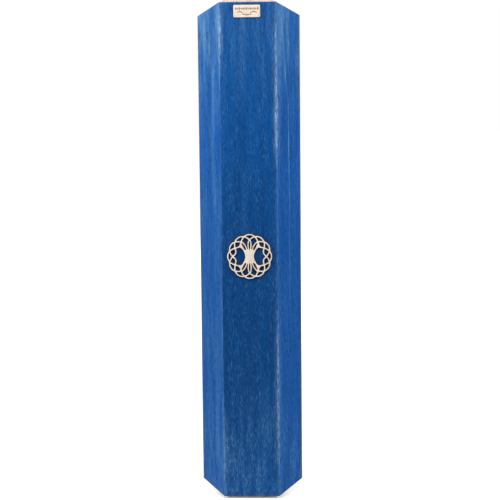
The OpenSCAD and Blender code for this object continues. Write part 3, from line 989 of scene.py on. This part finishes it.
def wound_sheet(name, start_r, end_r, turns, thick, half_len, slip, ripple, material, first_angle=0.0):
    """A sheet wound about the roll's axis, from its hollow middle outwards."""
    rng = np.random.default_rng(7)
    count = int(turns * PER_TURN)
    bm = bmesh.new()
    skew = np.cumsum(rng.normal(0, 1, count + 1))
    skew = skew / max(1e-9, np.abs(skew).max())
    stations = 17
    grid = []
    for i in range(count + 1):
        t = i / count
        a = first_angle + math.tau * turns * t
        r = start_r + (end_r - start_r) * t
        wave = ripple * math.sin(5 * a + 1.3) * 0.5
        shift = slip * skew[i]
        row = ([], [])
        for line, face_r in zip(row, (r, r + thick)):
            for u in np.linspace(-1, 1, stations):
                reach = face_r + wave * math.cos(3 * u + a)
                z = u * (half_len - slip) + shift
                line.append(bm.verts.new((reach * math.cos(a), ROLL_Y + reach * math.sin(a), z)))
        grid.append(row)
    for now, ahead in zip(grid, grid[1:]):
        for s in range(stations - 1):
            bm.faces.new((now[1][s], ahead[1][s], ahead[1][s + 1], now[1][s + 1]))
            bm.faces.new((now[0][s + 1], ahead[0][s + 1], ahead[0][s], now[0][s]))
        bm.faces.new((now[0][0], ahead[0][0], ahead[1][0], now[1][0]))
        bm.faces.new((now[1][-1], ahead[1][-1], ahead[0][-1], now[0][-1]))
    for row in (grid[0], grid[-1]):
        for s in range(stations - 1):
            bm.faces.new((row[0][s], row[0][s + 1], row[1][s + 1], row[1][s]))
    bmesh.ops.recalc_face_normals(bm, faces=bm.faces)
    mesh = mesh_from(bm, name)
    finish_edges(mesh, 40)
    return mesh_object(name, mesh, material)


parchment, tree, shader, where = new_material("parchment")
cloud = noise(tree, where, scale=260.0, detail=4.0)
follicles = add(tree, "ShaderNodeTexVoronoi", {"Vector": where, "Scale": 2600.0}).outputs["Distance"]
tone = stretch_range(tree, cloud, 0.3, 0.7)
colour = blend_colour(tree, tone, (0.64, 0.48, 0.27, 1), (0.80, 0.67, 0.45, 1))
pits = stretch_range(tree, follicles, 0.22, 0.05, 0.0, 0.35)
colour = blend_colour(tree, pits, colour, (0.52, 0.36, 0.18, 1))
coat(tree, shader, colour, stretch_range(tree, cloud, 0.3, 0.7, 0.5, 0.7), follicles, 0.25, 0.00005)
SHEET_T = 0.00014
TURNS = 8.5
scroll = wound_sheet("parchment_roll", CORE_R + 0.00004, ROLL_R - SHEET_T - 0.00004, TURNS, SHEET_T,
                     ROLL_HALF, slip=0.0005, ripple=0.00003, material=parchment)
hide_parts("parchment_scroll")
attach(scroll, "scroll")

paper, tree, shader, where = new_material("waxed_paper")
fibres = noise(tree, scaled(tree, where, 0.0004, 3.0), detail=4.0)
creases = noise(tree, where, scale=420.0, Distortion=1.2)
creases = stretch_range(tree, apart(tree, creases, 0.5), 0.035, 0.0)
colour = blend_colour(tree, fibres, (0.70, 0.63, 0.50, 1), (0.82, 0.77, 0.66, 1))
colour = blend_colour(tree, times(tree, creases, 0.35), colour, (0.90, 0.87, 0.80, 1))
coat(tree, shader, colour, stretch_range(tree, creases, 0.0, 1.0, 0.34, 0.55), creases, 0.4, 0.00008)
wrap_low, wrap_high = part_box("scroll_wrapper")
WRAP_R = (wrap_high[0] - wrap_low[0]) / 2
PAPER_T = 0.00009
LAP = 1.18
wrapper = wound_sheet("wrapper", ROLL_R + 0.00002, WRAP_R - PAPER_T - 0.00003, LAP, PAPER_T,
                      wrap_high[2], slip=0.0002, ripple=0.00003, material=paper, first_angle=-2.1)
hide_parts("scroll_wrapper")
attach(wrapper, "scroll")

rubber, tree, shader, where = new_material("natural_rubber")
bloom = noise(tree, where, scale=900.0)
tone = stretch_range(tree, bloom, 0.35, 0.65)
colour = blend_colour(tree, tone, (0.40, 0.10, 0.045, 1), (0.52, 0.17, 0.08, 1))
coat(tree, shader, colour, stretch_range(tree, bloom, 0.3, 0.7, 0.42, 0.62), bloom, 0.2, 0.00004)
band_low, band_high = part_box("scroll_bands")
BAND_R = (band_high[0] - band_low[0]) / 2
BAND_W = 0.0014
SIDE_ROOM = 0.0003
BAND_T = BAND_R - WRAP_R - 0.00002
BAND_Z = band_high[2] - BAND_W / 2
rubber_band, given, gives = geometry_tree(
    "rubber_bands", [("Radius", "Float", 0.004), ("Corner", "Float", 0.0001), ("Wander", "Float", 0.0001),
                     ("Spacing", "Float", 0.04)])
ring = add(rubber_band, "GeometryNodeCurvePrimitiveCircle",
           {"Resolution": 96, "Radius": given["Radius"]}).outputs[0]
place = add(rubber_band, "GeometryNodeInputPosition").outputs[0]
drift = noise(rubber_band, place, scale=260.0, detail=1.0)
drift = vector(rubber_band, z=times(rubber_band, minus(rubber_band, drift, 0.5), given["Wander"]))
ring = add(rubber_band, "GeometryNodeSetPosition", {"Geometry": ring, "Offset": drift}).outputs[0]
section = add(rubber_band, "GeometryNodeCurvePrimitiveQuadrilateral",
              {"Width": BAND_T, "Height": BAND_W - SIDE_ROOM}).outputs[0]
section = add(rubber_band, "GeometryNodeFilletCurve",
              {"Curve": section, "Radius": given["Corner"], "Count": 3}, mode="POLY")
swept = add(rubber_band, "GeometryNodeCurveToMesh",
            {"Curve": ring, "Profile Curve": section.outputs[0]}).outputs[0]
two_of(rubber_band, given, gives, swept, rubber, y=ROLL_Y)
bands = grow("bands", rubber_band, bpy.data.meshes.new("empty"), 40, Radius=WRAP_R + BAND_T / 2 + 0.00001,
             Corner=0.00012, Wander=0.0004, Spacing=2 * BAND_Z)
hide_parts("scroll_bands")
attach(bands, "scroll")
